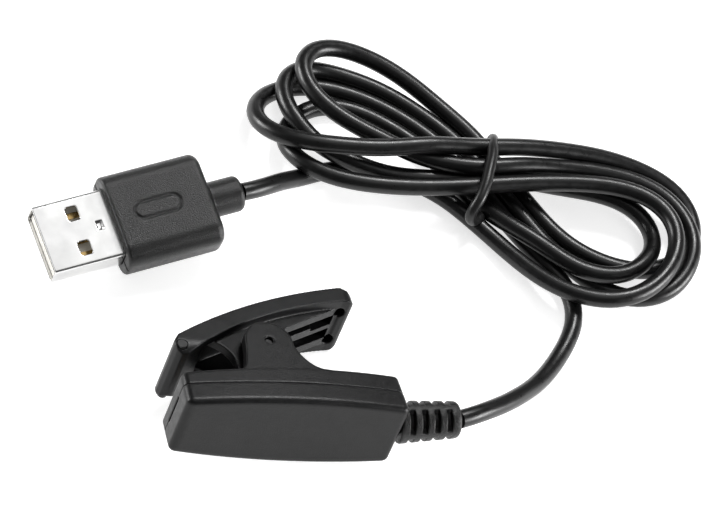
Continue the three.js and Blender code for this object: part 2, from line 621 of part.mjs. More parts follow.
piece('cable_clip_tail', tube(CLIP_TAIL, CABLE_DIAMETER, CABLE_SIDES, 7), blackCable, lead);
piece('cable_plug_tail', tube(PLUG_TAIL, CABLE_DIAMETER, CABLE_SIDES, 4), blackCable, lead);
piece('cable_hank', buildHank(), blackCable, lead);
piece('cable_tie', buildTie(), blackGrip, lead);

export default cableClip;
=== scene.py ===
"""USB charging clip cable: the visual model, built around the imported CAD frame. Metres, +Z up."""
import json
import math

import bmesh
import bpy
import numpy as np
from mathutils import Matrix, Vector


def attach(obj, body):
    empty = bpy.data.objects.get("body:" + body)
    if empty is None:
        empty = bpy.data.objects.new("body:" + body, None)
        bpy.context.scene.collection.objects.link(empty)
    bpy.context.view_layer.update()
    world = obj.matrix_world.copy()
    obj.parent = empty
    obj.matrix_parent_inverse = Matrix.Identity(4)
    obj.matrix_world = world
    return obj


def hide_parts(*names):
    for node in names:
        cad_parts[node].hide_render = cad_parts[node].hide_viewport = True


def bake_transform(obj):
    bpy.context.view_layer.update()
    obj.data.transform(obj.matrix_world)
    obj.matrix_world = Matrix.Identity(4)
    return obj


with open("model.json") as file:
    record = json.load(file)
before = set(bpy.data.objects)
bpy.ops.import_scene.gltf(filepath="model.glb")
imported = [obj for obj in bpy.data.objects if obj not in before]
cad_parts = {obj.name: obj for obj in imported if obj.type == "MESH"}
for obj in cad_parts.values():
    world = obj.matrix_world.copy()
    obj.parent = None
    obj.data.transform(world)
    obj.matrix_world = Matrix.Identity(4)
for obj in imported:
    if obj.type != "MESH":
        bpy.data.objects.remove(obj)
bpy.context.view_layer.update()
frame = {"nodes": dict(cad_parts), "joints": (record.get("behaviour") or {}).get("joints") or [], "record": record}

MM = 0.001

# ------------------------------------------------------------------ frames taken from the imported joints
joints = {joint["name"]: joint for joint in frame["joints"]}
HINGE = (-2.6, 9.6)  # the pin in the clip's own frame, millimetres


def clip_frame():
    """The clip's own frame: x to the cable exit, y from base to lever, z along the pin, in millimetres."""
    hinge = joints["lever_hinge"]
    z_axis = -Vector(hinge["axis"]).normalized()
    y_axis = -Vector(joints["plunger_slide_1"]["axis"]).normalized()
    x_axis = y_axis.cross(z_axis)
    turn = Matrix((x_axis, y_axis, z_axis)).transposed().to_4x4()
    pin = Matrix.Translation(Vector(hinge["pos_m"]))
    return pin @ turn @ Matrix.Scale(MM, 4) @ Matrix.Translation((-HINGE[0], -HINGE[1], 0))


CLIP = clip_frame()
RELIEF_START = 19.25
RELIEF_DROP = 0.4
RELIEF_LIFT = math.radians(7)
RELIEF = CLIP @ Matrix.Translation((RELIEF_START, 0, -RELIEF_DROP)) @ Matrix.Rotation(-RELIEF_LIFT, 4, "Y")
LEAD = Matrix.Scale(MM, 4) @ Matrix.Translation((0.33, 0.16, 0))
PLUG_PLACE = (-38.55, 26.89, 3.5)
PLUG_TURN = [math.radians(angle) for angle in (9.4, -7.4, 13.5)]
PLUG = (LEAD @ Matrix.Translation(PLUG_PLACE) @ Matrix.Rotation(PLUG_TURN[2], 4, "Z")
        @ Matrix.Rotation(PLUG_TURN[1], 4, "Y") @ Matrix.Rotation(PLUG_TURN[0], 4, "X"))

# ------------------------------------------------------------------ camera
CAMERA_PLACE = Vector((-220.23, -346.37, 557.55)) * MM
CAMERA_RIGHT = Vector((0.9423, -0.1718, 0.2873))
CAMERA_UP = Vector((-0.0161, 0.8340, 0.5515))


def make_camera():
    data = bpy.data.cameras.new("camera")
    data.sensor_width = 36.0
    data.lens = 212.64
    data.clip_start = 0.05
    camera = bpy.data.objects.new("camera", data)
    bpy.context.scene.collection.objects.link(camera)
    right = CAMERA_RIGHT.normalized()
    back = right.cross(CAMERA_UP).normalized()
    up = back.cross(right)
    camera.matrix_world = Matrix.Translation(CAMERA_PLACE) @ Matrix((right, up, back)).transposed().to_4x4()
    bpy.context.scene.camera = camera


make_camera()


# ------------------------------------------------------------------ node materials
class Nodes:
    """A short way to build a node tree."""

    def __init__(self, name):
        self.material = bpy.data.materials.new(name)
        self.material.use_nodes = True
        self.tree = self.material.node_tree
        self.shader = self.tree.nodes["Principled BSDF"]
        self.where = self.add("ShaderNodeTexCoord").outputs["Object"]

    def add(self, kind, **values):
        node = self.tree.nodes.new(kind)
        for key, value in values.items():
            if key in node.inputs:
                node.inputs[key].default_value = value
            else:
                setattr(node, key, value)
        return node

    def join(self, source, node, socket):
        self.tree.links.new(source, node.inputs[socket])

    def noise(self, scale, detail=2.0, rough=0.5, where=None):
        node = self.add("ShaderNodeTexNoise", Scale=scale, Detail=detail, Roughness=rough)
        self.join(where or self.where, node, "Vector")
        return node.outputs["Fac"]

    def ramp(self, source, low, high, start=0.0, end=1.0):
        """Maps a factor to a range of numbers."""
        node = self.add("ShaderNodeMapRange")
        self.join(source, node, "Value")
        for key, value in (("From Min", start), ("From Max", end), ("To Min", low), ("To Max", high)):
            node.inputs[key].default_value = value
        return node.outputs["Result"]

    def colours(self, source, first, second, start=0.3, end=0.7):
        node = self.add("ShaderNodeValToRGB")
        self.join(source, node, "Fac")
        node.color_ramp.elements[0].position = start
        node.color_ramp.elements[0].color = (*first, 1)
        node.color_ramp.elements[1].position = end
        node.color_ramp.elements[1].color = (*second, 1)
        return node.outputs["Color"]

    def bump(self, source, strength, distance, below=None):
        node = self.add("ShaderNodeBump", Strength=strength, Distance=distance)
        self.join(source, node, "Height")
        if below is not None:
            self.join(below, node, "Normal")
        return node.outputs["Normal"]

    def set(self, **sockets):
        names = {"colour": "Base Color", "roughness": "Roughness", "normal": "Normal",
                 "metallic": "Metallic", "specular": "Specular IOR Level"}
        for key, value in sockets.items():
            if hasattr(value, "node"):
                self.join(value, self.shader, names[key])
            else:
                self.shader.inputs[names[key]].default_value = value
        return self.material


def moulded(name, dark, light, rough, grain, depth, specular=0.5):
    """Moulded plastic with a spark-eroded grain, faint blotches and scuffs that change the gloss."""
    n = Nodes(name)
    fine = n.noise(grain, 3.0, 0.65)
    broad = n.noise(120.0, 3.0)
    scuff = n.noise(900.0, 4.0, 0.7)
    colour = n.colours(n.noise(300.0, 4.0), dark, light)
    roughness = n.ramp(scuff, rough - 0.06, rough + 0.08, 0.3, 0.7)
    normal = n.bump(broad, 0.05, 0.0001, n.bump(fine, 0.5, depth))
    return n.set(colour=colour, roughness=roughness, normal=normal, specular=specular)


def metal(name, dark, light, rough, grain=(1, 1, 1), scale=1500.0, depth=2e-6):
    """Plated or drawn metal: faint streaks along one axis, smears that change the gloss."""
    n = Nodes(name)
    mapping = n.add("ShaderNodeMapping")
    mapping.inputs["Scale"].default_value = grain
    n.join(n.where, mapping, "Vector")
    streak = n.noise(scale, 3.0, 0.6, mapping.outputs["Vector"])
    colour = n.colours(n.noise(200.0, 3.0), dark, light)
    roughness = n.ramp(n.noise(260.0, 4.0), rough - 0.04, rough + 0.07, 0.3, 0.7)
    return n.set(colour=colour, roughness=roughness, metallic=1.0, normal=n.bump(streak, 0.4, depth))


def make_materials():
    return {
        "black_housing": moulded("housing_plastic", (0.0035, 0.0035, 0.0038), (0.0055, 0.0055, 0.0058),
                                 0.35, 4200.0, 0.00006, 0.25),
        "black_grip": moulded("grip_plastic", (0.003, 0.003, 0.003), (0.006, 0.006, 0.006), 0.34,
                              4600.0, 0.00018, 0.42),
        "relief": moulded("relief_plastic", (0.004, 0.004, 0.004), (0.007, 0.007, 0.007), 0.34,
                          3700.0, 0.0002, 0.36),
        "black_cable": moulded("cable_jacket", (0.002, 0.002, 0.0021), (0.0035, 0.0035, 0.0036), 0.32,
                               500.0, 0.000001, 0.42),
        "tie": moulded("tie_plastic", (0.005, 0.005, 0.005), (0.009, 0.009, 0.009), 0.34, 2600.0, 0.00001,
                       0.36),
        "dark_insulator": moulded("insulator", (0.008, 0.008, 0.009), (0.013, 0.013, 0.014), 0.45,
                                  5000.0, 0.00001),
        "white_insulator": moulded("tongue_plastic", (0.72, 0.70, 0.64), (0.82, 0.80, 0.75), 0.42,
                                   4000.0, 0.000008),
        "board_green": moulded("solder_mask", (0.01, 0.07, 0.03), (0.02, 0.12, 0.05), 0.4, 3000.0, 0.00001),
        "bright_steel": metal("nickel_shell", (0.70, 0.70, 0.70), (0.80, 0.80, 0.79), 0.20, (1, 14, 1)),
        "dark_steel": metal("drawn_steel", (0.16, 0.16, 0.165), (0.28, 0.28, 0.285), 0.34, (3, 3, 20)),
        "blackened": moulded("blackened_pin", (0.014, 0.014, 0.014), (0.022, 0.022, 0.022), 0.34, 4200.0,
                             0.00002, 0.45),
        "gold_plate": metal("gold_plate", (0.56, 0.38, 0.15), (0.72, 0.52, 0.23), 0.24),
        "wire_red": moulded("wire_red", (0.35, 0.02, 0.015), (0.45, 0.03, 0.02), 0.35, 3000.0, 0.000005),
        "wire_white": moulded("wire_white", (0.7, 0.68, 0.62), (0.8, 0.78, 0.72), 0.35, 3000.0, 0.000005),
        "wire_green": moulded("wire_green", (0.03, 0.2, 0.05), (0.04, 0.27, 0.07), 0.35, 3000.0, 0.000005),
        "wire_black": moulded("wire_black", (0.01, 0.01, 0.01), (0.02, 0.02, 0.02), 0.35, 3000.0, 0.000005),
    }


materials = make_materials()
BLACKENED = ("hinge_pin", "jaw_pin")


def dress_frame():
    """Every CAD node gets the node material of its slot."""
    slots = {entry["node"]: entry["material_slot"] for entry in frame["record"]["subparts"]}
    for name, node in frame["nodes"].items():
        node.data.materials.clear()
        node.data.materials.append(materials["blackened" if name in BLACKENED else slots[name]])


dress_frame()

# ------------------------------------------------------------------ solids, in millimetres
def solid(vertices, faces):
    mesh = bpy.data.meshes.new("solid")
    mesh.from_pydata([tuple(vertex) for vertex in vertices], [], faces)
    form = bmesh.new()
    form.from_mesh(mesh)
    bmesh.ops.recalc_face_normals(form, faces=form.faces)
    form.to_mesh(mesh)
    form.free()
    thing = bpy.data.objects.new("solid", mesh)
    bpy.context.scene.collection.objects.link(thing)
    return thing


def bake(thing):
    """Turns an object's modifiers into its mesh."""
    bpy.context.view_layer.update()
    thing.data = bpy.data.meshes.new_from_object(thing.evaluated_get(bpy.context.evaluated_depsgraph_get()))
    thing.modifiers.clear()
    return thing


def combine(thing, operation, *others):
    for other in others:
        modifier = thing.modifiers.new("combine", "BOOLEAN")
        modifier.operation = operation
        modifier.solver = "MANIFOLD"
        modifier.object = other
    bake(thing)
    for other in others:
        bpy.data.objects.remove(other)
    return thing


def soften(thing, voxel, rounds):
    """Rounds every edge a little, as a mould does."""
    remesh = thing.modifiers.new("remesh", "REMESH")
    remesh.mode = "VOXEL"
    remesh.voxel_size = voxel
    smooth = thing.modifiers.new("smooth", "SMOOTH")
    smooth.factor = 0.5
    smooth.iterations = rounds
    return bake(thing)


def loft(outlines):
    """A closed solid through a stack of outlines; point k of an outline faces point n - 1 - k."""
    count = len(outlines[0])
    vertices = [point for outline in outlines for point in outline]
    faces = []
    for level in range(len(outlines) - 1):
        for k in range(count):
            a = level * count + k
            b = level * count + (k + 1) % count
            faces.append((a, b, b + count, a + count))
    top = (len(outlines) - 1) * count
    for start in (0, top):
        for k in range(count // 2 - 1):
            faces.append((start + k, start + k + 1, start + count - 2 - k, start + count - 1 - k))
    return solid(vertices, faces)


def plate(outline, z0, z1):
    """A flat outline in x and y, as thick as z0 to z1."""
    count = len(outline)
    vertices = [(x, y, z0) for x, y in outline] + [(x, y, z1) for x, y in outline]
    faces = [(k, (k + 1) % count, (k + 1) % count + count, k + count) for k in range(count)]
    faces += [tuple(range(count)), tuple(range(count, 2 * count))]
    return solid(vertices, faces)


def box(x0, x1, y0, y1, z0, z1):
    return plate([(x0, y0), (x1, y0), (x1, y1), (x0, y1)], z0, z1)


def circle(centre, across, up, radius, count=48):
    angles = [2 * math.pi * (k + 0.5) / count for k in range(count)]
    return [centre + radius * (math.cos(t) * across + math.sin(t) * up) for t in angles]


def bar(start, end, radius, count=48):
    start, end = Vector(start), Vector(end)
    axis = (end - start).normalized()
    across = axis.orthogonal().normalized()
    up = axis.cross(across)
    return loft([circle(place, across, up, radius, count) for place in (start, end)])


ON_AXIS = 0.01  # radius that closes a turned solid at its ends


def turned(profile, count=72):
    """A solid of revolution around the x axis through rows of [x, radius]."""
    across, up = Vector((0, 1, 0)), Vector((0, 0, 1))
    return loft([circle(Vector((x, 0, 0)), across, up, radius, count) for x, radius in profile])


def curve_points(first, middle, last, count):
    """A quadratic curve's points."""
    first, middle, last = Vector(first), Vector(middle), Vector(last)
    places = [k / count for k in range(count + 1)]
    return [tuple(first * (1 - t) ** 2 + middle * 2 * t * (1 - t) + last * t ** 2) for t in places]


def arc_points(centre, radius, start, end, count):
    x, y = centre
    angles = [math.radians(start + (end - start) * k / count) for k in range(count + 1)]
    return [(x + radius * math.cos(angle), y + radius * math.sin(angle)) for angle in angles]


def quarter_round(radius, steps):
    """Rise and inset along a rounded edge, from the flat face to the side."""
    angles = [math.pi / 2 * k / steps for k in range(steps + 1)]
    return [(radius * (1 - math.cos(angle)), radius * (1 - math.sin(angle))) for angle in angles]


def through(values, count):
    """A smooth line of count rows through the given rows."""
    rows = np.atleast_2d(np.array(values, float).T).T
    ends = np.vstack([rows[0], rows, rows[-1]])
    place = np.linspace(0, len(rows) - 1, count)
    index = np.minimum(place.astype(int), len(rows) - 2)
    f = (place - index)[:, None]
    a, b, c, d = (ends[index + k] for k in range(4))
    squared = (2 * a - 5 * b + 4 * c - d) * f ** 2
    cubed = (3 * b - a - 3 * c + d) * f ** 3
    return 0.5 * (2 * b + (c - a) * f + squared + cubed)


def tube(points, radius, count=20):
    """A round bar along a line of points."""
    rings = []
    side = Vector((1, 0, 0))
    for k, point in enumerate(points):
        ahead = points[min(k + 1, len(points) - 1)] - points[max(k - 1, 0)]
        axis = ahead.normalized()
        side = (side - axis * side.dot(axis)).normalized()
        rings.append(circle(point, side, axis.cross(side), radius, count))
    return loft(rings)


def ball(centre, radius):
    """A sphere."""
    angles = np.linspace(0.0, math.pi, 15)
    profile = [(-radius * math.cos(t), max(radius * math.sin(t), ON_AXIS)) for t in angles]
    thing = turned(profile, 24)
    thing.data.transform(Matrix.Translation(centre))
    return thing


pieces = {}
BODY_OF = {"lever_shell": "lever"}
BLENDED = "spring_wire"  # left unattached to either the base or the lever


def place(thing, name, matrix, material, slot, *nodes):
    """Gives a finished solid its name, place, material and body, and lets it stand for CAD nodes."""
    thing.name = name
    thing.data.name = name
    thing.data.transform(matrix)
    thing.data.polygons.foreach_set("use_smooth", [True] * len(thing.data.polygons))
    thing.data.materials.clear()
    thing.data.materials.append(materials[material])
    if name != BLENDED:
        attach(thing, BODY_OF.get(name, "clip_base"))
    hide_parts(*nodes)
    pieces[nodes[0]] = thing


# ------------------------------------------------------------------ clip base
BASE_LENGTH = 37.6
BASE_DRAFT = 0.3
BASE_HEIGHT = 7.6
BASE_CORNER = 1.2
BASE_BOTTOM = -3.6
BASE_EDGE = 1.0
BASE_NOSE = 1.6
DECK_EDGE = 0.6
PARTING = 0.4
WALL = 1.3
CAVITY_TOP = 2.0
SEAM = -0.03  # the two halves meet with only their rounded edges apart
HOUSING_VOXEL = 0.16
CONTACT_X = -14.2
EAR_INNER = 5.0
EAR_OUTER = 7.5  # cut back to the base's sides
PIN_HOLE_RADIUS = 0.7
RELIEF_BORE = 2.3
SOFTENING = 3  # rounds of smoothing on the moulded halves and the lever


def deck_height(x):
    return 4.0 - 0.001 * (x - 12) ** 2


def base_half_width(x):
    return 7.2 - 0.0034 * (x - 1.5) ** 2


def base_outline(inset, height_at):
    """The base's outline drawn in by an inset, at a height that may depend on x."""
    draft = BASE_DRAFT * (height_at(0) - BASE_BOTTOM) / BASE_HEIGHT
    corner = max(BASE_CORNER - inset, 0.3)
    side = []
    for end in (-1, 1):
        nose = (BASE_NOSE / BASE_EDGE - 1) * min(inset, BASE_EDGE) if end < 0 else 0
        centre_x = end * (BASE_LENGTH / 2 - draft - inset - nose - corner)
        centre_z = base_half_width(centre_x) - inset - corner
        turn = (180, 90) if end < 0 else (90, 0)
        if end > 0:
            side += [(x, base_half_width(x) - inset) for x in np.arange(-15.5, 15.6, 1.0)]
        side += arc_points((centre_x, centre_z), corner, *turn, 10)
    around = side + [(x, -z) for x, z in reversed(side)]
    return [Vector((x, height_at(x), z)) for x, z in around]


def relief_bore():
    """The bore in the end wall that the strain relief's neck passes through."""
    slope = math.tan(RELIEF_LIFT)
    inside, outside = [(RELIEF_START + x, 0, -RELIEF_DROP + x * slope) for x in (-6, 4)]
    return bar(inside, outside, RELIEF_BORE)


def end_slit():
    """The short open slot at the seam in the jaw end."""
    return box(-19.5, -18.0, PARTING - 0.22, PARTING + 0.22, -2.7, 2.7)


def make_cover():
    rings = [base_outline(inset, lambda x, rise=rise: BASE_BOTTOM + rise)
             for rise, inset in quarter_round(BASE_EDGE, 10)]
    shell = loft([*rings, base_outline(0, lambda x: PARTING - SEAM)])
    cavity = loft([base_outline(WALL, lambda x, y=y: y) for y in (BASE_BOTTOM + WALL, PARTING + 1)])
    cover = combine(shell, "DIFFERENCE", cavity, relief_bore(), end_slit())
    place(soften(cover, HOUSING_VOXEL, SOFTENING), "cover_shell", CLIP, "black_housing", "black_housing",
          "base_cover")


def ear_outline():
    """Up the jaw side, over the pin, and down the long hollow of the cable side."""
    return [(-9.0, 2.6), (-8.4, 3.45), (-7.9, 3.95), (-7.6, 4.6), (-7.0, 7.2),
            *arc_points((HINGE[0], HINGE[1]), 4.0, 172, -8, 40),
            *curve_points((1.3, 8.9), (2.6, 4.5), (5.4, 3.85), 20)[1:], (6.6, 3.8), (6.6, 2.6)]


def make_housing():
    edge = [base_outline(inset, lambda x, rise=rise: deck_height(x) - rise)
            for rise, inset in reversed(quarter_round(DECK_EDGE, 8))]
    shell = loft([base_outline(0, lambda x: PARTING + SEAM), *edge])
    ears = [plate(ear_outline(), *sorted((side * EAR_INNER, side * EAR_OUTER))) for side in (-1, 1)]
    for ear in ears:
        combine(ear, "INTERSECT", loft([base_outline(0.02, lambda x, y=y: y) for y in (2.0, 14.5)]))
    shell = combine(shell, "UNION", *ears)
    cavity = loft([base_outline(WALL, lambda x, y=y: y) for y in (PARTING - 1, CAVITY_TOP)])
    block_hole = box(CONTACT_X - 2.9, CONTACT_X + 2.9, 0, 6, -5.0, 5.0)
    spring_seat = box(-0.4, 4.2, 2.9, 6, -1.2, 1.2)
    pin_hole = bar((*HINGE, -9), (*HINGE, 9), PIN_HOLE_RADIUS)
    cuts = [cavity, block_hole, spring_seat, pin_hole, relief_bore(), end_slit()]
    housing = combine(shell, "DIFFERENCE", *cuts)
    place(soften(housing, HOUSING_VOXEL, SOFTENING), "housing_shell", CLIP, "black_housing", "black_housing",
          "base_housing")


# ------------------------------------------------------------------ lever
LEVER_HALF_WIDTH = 5.9
LEVER_FRAME = 1.8
LEVER_SKIN = 1.2
LIP_CORNER = 2.6
LIP_BOTTOM = 7.7
LEVER_VOXEL = 0.14
JAW_PIN = (-17.0, 9.1)
JAW_PIN_HOLE_RADIUS = 0.86
GUSSET_INNER = 2.6
GUSSET_OUTER = 4.1
TAIL_RECESS = (13.4, 3.1)  # place along the lever and to each side
TAIL_RECESS_RADIUS = 0.95


def lever_back(count):
    return curve_points((-17.3, 11.15), (-3.0, 20.4), (13.2, 23.5), count)


def lever_profile():
    rim = curve_points((-13.5, 9.5), (-1.5, 18.0), (13.3, 20.5), 36)
    tail = [(14.7, 20.5), (15.25, 20.75), (15.5, 21.1), (15.55, 21.6), (15.4, 22.1), (15.1, 22.6),
            (14.6, 23.1)]
    jaw = [(-18.1, 10.0), (-18.2, 9.2), (-17.8, 8.2), (-16.9, LIP_BOTTOM), (-16.0, LIP_BOTTOM + 0.1),
           (-14.6, 8.7)]
    return [*rim, *tail, *reversed(lever_back(36)), *jaw]


def lever_plan():
    """The lever seen along y, as tall as the whole clip."""
    half = LEVER_HALF_WIDTH
    corner = 2.4
    tail = 15.6
    jaw = -18.3
    jaw_corner = 0.9
    side = [(jaw, 0.5), (jaw, half - jaw_corner),
            *arc_points((jaw + jaw_corner, half - jaw_corner), jaw_corner, 170, 90, 6),
            *curve_points((tail - corner, half), (tail, half), (tail, half - corner), 12), (tail, 0.5)]
    around = side + [(x, -z) for x, z in reversed(side)]
    return loft([[Vector((x, y, z)) for x, z in around] for y in (0, 30)])


def lever_front():
    """The lever seen along x: straight sides and round lower corners of the jaw lip."""
    side = LEVER_HALF_WIDTH + 0.3
    base = LIP_BOTTOM - 0.3
    half = [(30, side), (LIP_BOTTOM + LIP_CORNER, side),
            *curve_points((LIP_BOTTOM + LIP_CORNER, LEVER_HALF_WIDTH), (base, LEVER_HALF_WIDTH),
                          (base, LEVER_HALF_WIDTH - LIP_CORNER), 14)]
    around = half + [(y, -z) for y, z in reversed(half)]
    return loft([[Vector((x, y, z)) for y, z in around] for x in (-20, 20)])


def lever_pocket():
    end = 13.6
    roof = [(x + 0.4, y - LEVER_SKIN) for x, y in lever_back(30) if -13 < x < end - 0.6]
    outline = [(-12.8, 5), (end, 5), (end, 22.2), *reversed(roof), (-12.8, 12.4)]
    half = LEVER_HALF_WIDTH - LEVER_FRAME
    return plate(outline, -half, half)


def gusset_outline():
    clear = 0.3
    return [*curve_points((-12.2, 12.4), (-7.8, 10.8), (-7.7, 6.6), 16), (-7.7, deck_height(-7.7) + clear),
            (-6.2, deck_height(-6.2) + clear), (-4.6, 5.6), *arc_points(HINGE, 3.9, -110, 12, 24),
            (2.4, 15.3), (13.7, 20.9), (13.7, 22.7), (5, 20.8), (-4, 17.5)]


def make_lever():
    lever = plate(lever_profile(), -LEVER_HALF_WIDTH - 1, LEVER_HALF_WIDTH + 1)
    combine(lever, "INTERSECT", lever_plan(), lever_front())
    combine(lever, "DIFFERENCE", lever_pocket())
    gussets = [plate(gusset_outline(), *sorted((side * GUSSET_INNER, side * GUSSET_OUTER)))
               for side in (-1, 1)]
    rib = plate([(4.2, 16.2), (13.0, 20.6), (13.0, 22.8), (4.2, 20.6)], -0.45, 0.45)
    step = plate([(4.2, 16.2), (8.6, 18.4), (8.6, 21.3), (4.2, 20.0)], -0.45, 1.2)
    cross = plate([(12.6, 20.4), (13.7, 20.9), (13.7, 22.8), (12.6, 22.7)], -GUSSET_OUTER, GUSSET_OUTER)
    combine(lever, "UNION", *gussets, rib, step, cross)
    along, aside = TAIL_RECESS
    cuts = [bar((along, 18, z), (along, 22.1, z), TAIL_RECESS_RADIUS) for z in (-aside, aside)]
    cuts.append(bar((*HINGE, -9), (*HINGE, 9), PIN_HOLE_RADIUS))
    cuts.append(bar((*JAW_PIN, -9), (*JAW_PIN, 9), JAW_PIN_HOLE_RADIUS))
    combine(lever, "DIFFERENCE", *cuts)
    place(soften(lever, LEVER_VOXEL, SOFTENING), "lever_shell", CLIP, "black_housing", "black_housing",
          "lever")


# ------------------------------------------------------------------ strain relief
RELIEF_LENGTH = 10.4
RELIEF_GAPS = 4
RELIEF_FIRST_GAP = 1.4
RELIEF_PITCH = 2.1
RELIEF_SLOT = 0.95
RELIEF_CORE = 2.1
RELIEF_RIB = 0.45  # half width of the ribs that cross the gaps
RELIEF_VOXEL = 0.11


def make_relief():
    profile = [(-4.2, 1.9), (0, 1.9), (0.02, 3.3), (0.3, 3.5), (9.4, 3.05), (9.9, 2.95), (10.2, 2.7),
               (RELIEF_LENGTH, 2.2)]
    relief = turned([(-4.2, ON_AXIS), *profile, (RELIEF_LENGTH, ON_AXIS)])
    rib = RELIEF_RIB
    slots = []
    for ring in range(RELIEF_GAPS):
        x = RELIEF_FIRST_GAP + ring * RELIEF_PITCH
        slot = bar((x, 0, 0), (x + RELIEF_SLOT, 0, 0), 5)
        core = bar((x - 1, 0, 0), (x + 2, 0, 0), RELIEF_CORE)
        ribs = [box(x - 1, x + 2, -rib, rib, -6, 6), box(x - 1, x + 2, -6, 6, -rib, rib)]
        slots.append(combine(slot, "DIFFERENCE", core, *ribs))
    combine(relief, "DIFFERENCE", *slots)
    place(soften(relief, RELIEF_VOXEL, 4), "relief_sleeve", RELIEF, "relief", "black_grip", "strain_relief")


# ------------------------------------------------------------------ plug
SHELL_LENGTH = 18.6
SHELL_WIDTH = 12.0
SHELL_HEIGHT = 4.5
SHELL_WALL = 0.3
SHELL_CORNER = 0.55
GRIP_START = 12.1
GRIP_LENGTH = 17.1
GRIP_WIDTH = 16.3
GRIP_HEIGHT = 8.1
GRIP_CORNER = 3.0
NECK_RADIUS = 3.0
NECK_LENGTH = 5.7
POCKET_CLEARANCE = 0.12
FRONT_ROUND = 0.5
REAR_ROUND = 1.4
NECK_ROUND = 0.9
MARK_START = 3.2  # the recessed outline on the grip, from the grip's front
MARK_END = 11.8
MARK_HALF_WIDTH = 1.7
MARK_LINE = 0.55
MARK_DEPTH = 0.22
QUARTER_TURN = 1.571
SHELL_VOXEL = 0.075
GRIP_VOXEL = 0.13


def rounded_outline(x, width, height, corner, steps=8):
    """A closed outline in y and z with rounded corners, at a place along x."""
    half = []
    for centre_z, start in ((height / 2 - corner, 90), (corner - height / 2, 0)):
        half += arc_points((width / 2 - corner, centre_z), corner, start, start - 90, steps)
    around = half + [(-y, z) for y, z in reversed(half)]
    return [Vector((x, y, z)) for y, z in around]


def rounded_box(x0, x1, y0, y1, corner, z0, z1):
    """A block with rounded corners seen along z."""
    outline = [*arc_points((x1 - corner, y1 - corner), corner, 0, 90, 6),
               *arc_points((x0 + corner, y1 - corner), corner, 90, 180, 6),
               *arc_points((x0 + corner, y0 + corner), corner, 180, 270, 6),
               *arc_points((x1 - corner, y0 + corner), corner, 270, 360, 6)]
    return plate(outline, z0, z1)


def make_shell():
    inner_width = SHELL_WIDTH - 2 * SHELL_WALL
    inner_height = SHELL_HEIGHT - 2 * SHELL_WALL
    shell = loft([rounded_outline(x, SHELL_WIDTH, SHELL_HEIGHT, SHELL_CORNER) for x in (0, SHELL_LENGTH)])
    inner = loft([rounded_outline(x, inner_width, inner_height, 0.27) for x in (-1, SHELL_LENGTH + 1)])
    windows = [rounded_box(5.1, 7.1, y - 1.25, y + 1.25, 0.4, -6, 6) for y in (-3.1, 3.1)]
    combine(shell, "DIFFERENCE", inner, *windows)
    tray = box(8.7, 10.8, -1.3, 1.3, 1.7, SHELL_HEIGHT / 2 - SHELL_WALL + 0.05)
    combine(shell, "UNION", tray)
    top = SHELL_HEIGHT / 2 + 0.1
    bottom = SHELL_HEIGHT / 2 - 0.4
    rims = [(bottom, 9.45, 10.05, 0.5), (top, 9.1, 10.4, 0.95)]
    dimple = loft([[Vector((x, y, z)) for x, y in ((x0, half), (x1, half), (x1, -half), (x0, -half))]
                   for z, x0, x1, half in rims])
    combine(shell, "DIFFERENCE", dimple)
    place(soften(shell, SHELL_VOXEL, 2), "plug_shell", PLUG, "bright_steel", "bright_steel", "usb_shell")


def grip_ring(x, inset):
    return rounded_outline(x, GRIP_WIDTH - 2 * inset, GRIP_HEIGHT - 2 * inset, GRIP_CORNER - inset, 14)


def grip_block():
    """The grip with its rounded front and rear edges."""
    start = GRIP_START + FRONT_ROUND
    end = GRIP_START + GRIP_LENGTH - REAR_ROUND
    front = [grip_ring(start - FRONT_ROUND * math.cos(t), FRONT_ROUND - FRONT_ROUND * math.sin(t))
             for t in np.linspace(0, QUARTER_TURN, 6)]
    rear = [grip_ring(end + REAR_ROUND * math.sin(t), REAR_ROUND - REAR_ROUND * math.cos(t))
            for t in np.linspace(0, QUARTER_TURN, 9)]
    return loft([*front, *rear])


def grip_neck():
    start = GRIP_START + GRIP_LENGTH
    end = start + NECK_LENGTH
    edge = NECK_RADIUS - NECK_ROUND
    round_end = [(end - NECK_ROUND + NECK_ROUND * math.sin(t), edge + NECK_ROUND * math.cos(t))
                 for t in np.linspace(0, QUARTER_TURN, 8)]
    return turned([(start - 2, ON_AXIS), (start - 2, NECK_RADIUS), *round_end, (end, ON_AXIS)])


def grip_pocket():
    """The space that the steel shell sits in."""
    clear = POCKET_CLEARANCE
    return loft([rounded_outline(x, SHELL_WIDTH + 2 * clear, SHELL_HEIGHT + 2 * clear, SHELL_CORNER + clear)
                 for x in (GRIP_START - 1, SHELL_LENGTH + clear)])


def grip_mark():
    """A plain recessed outline on the upper face."""
    start = GRIP_START + MARK_START
    end = GRIP_START + MARK_END
    half = MARK_HALF_WIDTH
    inner = half - MARK_LINE
    mark = rounded_box(start, end, -half, half, half - 0.01, GRIP_HEIGHT / 2 - MARK_DEPTH, GRIP_HEIGHT)
    island = rounded_box(start + MARK_LINE, end - MARK_LINE, -inner, inner, inner - 0.01, 0, GRIP_HEIGHT + 1)
    return combine(mark, "DIFFERENCE", island)


def make_grip():
    grip = combine(grip_block(), "UNION", grip_neck())
    creases = [box(GRIP_START - 0.2, GRIP_START + 0.35, *sorted((side * 6.1, side * 8.3)), -0.13, 0.13)
               for side in (-1, 1)]
    combine(grip, "DIFFERENCE", grip_pocket(), *creases)
    combine(grip, "DIFFERENCE", grip_mark())
    place(soften(grip, GRIP_VOXEL, 2), "grip_body", PLUG, "black_grip", "black_grip", "plug_grip")


